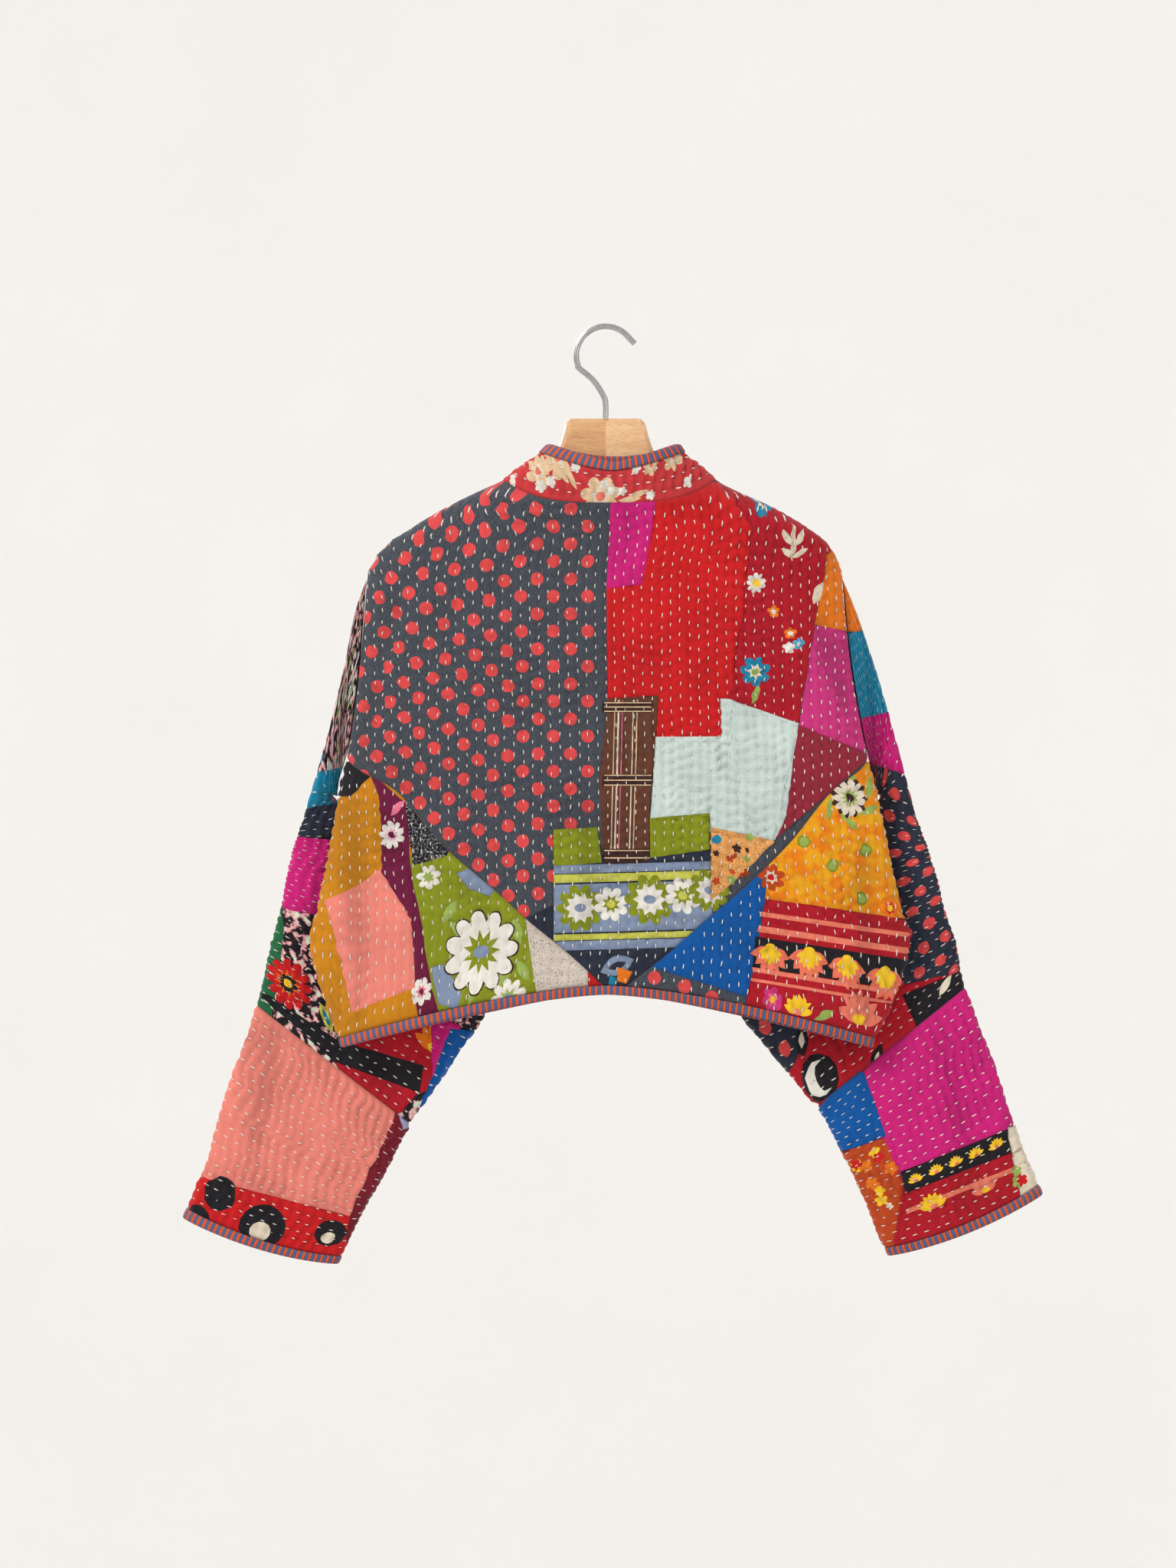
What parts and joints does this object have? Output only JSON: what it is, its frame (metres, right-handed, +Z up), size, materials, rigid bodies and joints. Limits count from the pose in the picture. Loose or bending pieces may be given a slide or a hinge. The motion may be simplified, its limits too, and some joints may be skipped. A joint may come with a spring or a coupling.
{
  "type": "kantha jacket on a hanger",
  "caption": "Cropped patchwork quilted cotton jacket with wide sleeves, a stand collar and striped bound edges, hung flat on a wooden hanger with a steel hook.",
  "frame": {"origin": "the point under the crown of the hanger's hook where a rail or peg carries it", "axes": "+Z up; the jacket's back faces -Y and its front faces +Y; +X is the side on the right when its back is looked at"},
  "size_m": [0.7412, 0.0676, 0.8119],
  "materials": {
    "wood": "satin clear varnish",
    "steel": "satin",
    "slate_cotton": "matt, quilted",
    "yellow_cotton": "matt, quilted",
    "red_cotton": "matt, quilted",
    "magenta_cotton": "matt, quilted",
    "coral_cotton": "matt, quilted",
    "collar_cotton": "matt, quilted",
    "striped_binding": "matt, ribbed"
  },
  "bodies": {
    "root": {"hanger_wood": "wood", "hanger_hook": "steel", "back_panel": "slate_cotton", "collar": "collar_cotton", "collar_binding": "striped_binding", "hem_binding": "striped_binding", "neck_loop": "striped_binding", "gusset_left": "yellow_cotton", "gusset_right": "yellow_cotton", "front_left": "red_cotton", "front_right": "red_cotton", "front_binding_left": "striped_binding", "front_binding_right": "striped_binding", "sleeve_left": "magenta_cotton", "sleeve_right": "magenta_cotton", "forearm_left": "coral_cotton", "forearm_right": "coral_cotton", "cuff_binding_left": "striped_binding", "cuff_binding_right": "striped_binding"}
  },
  "joints": []
}
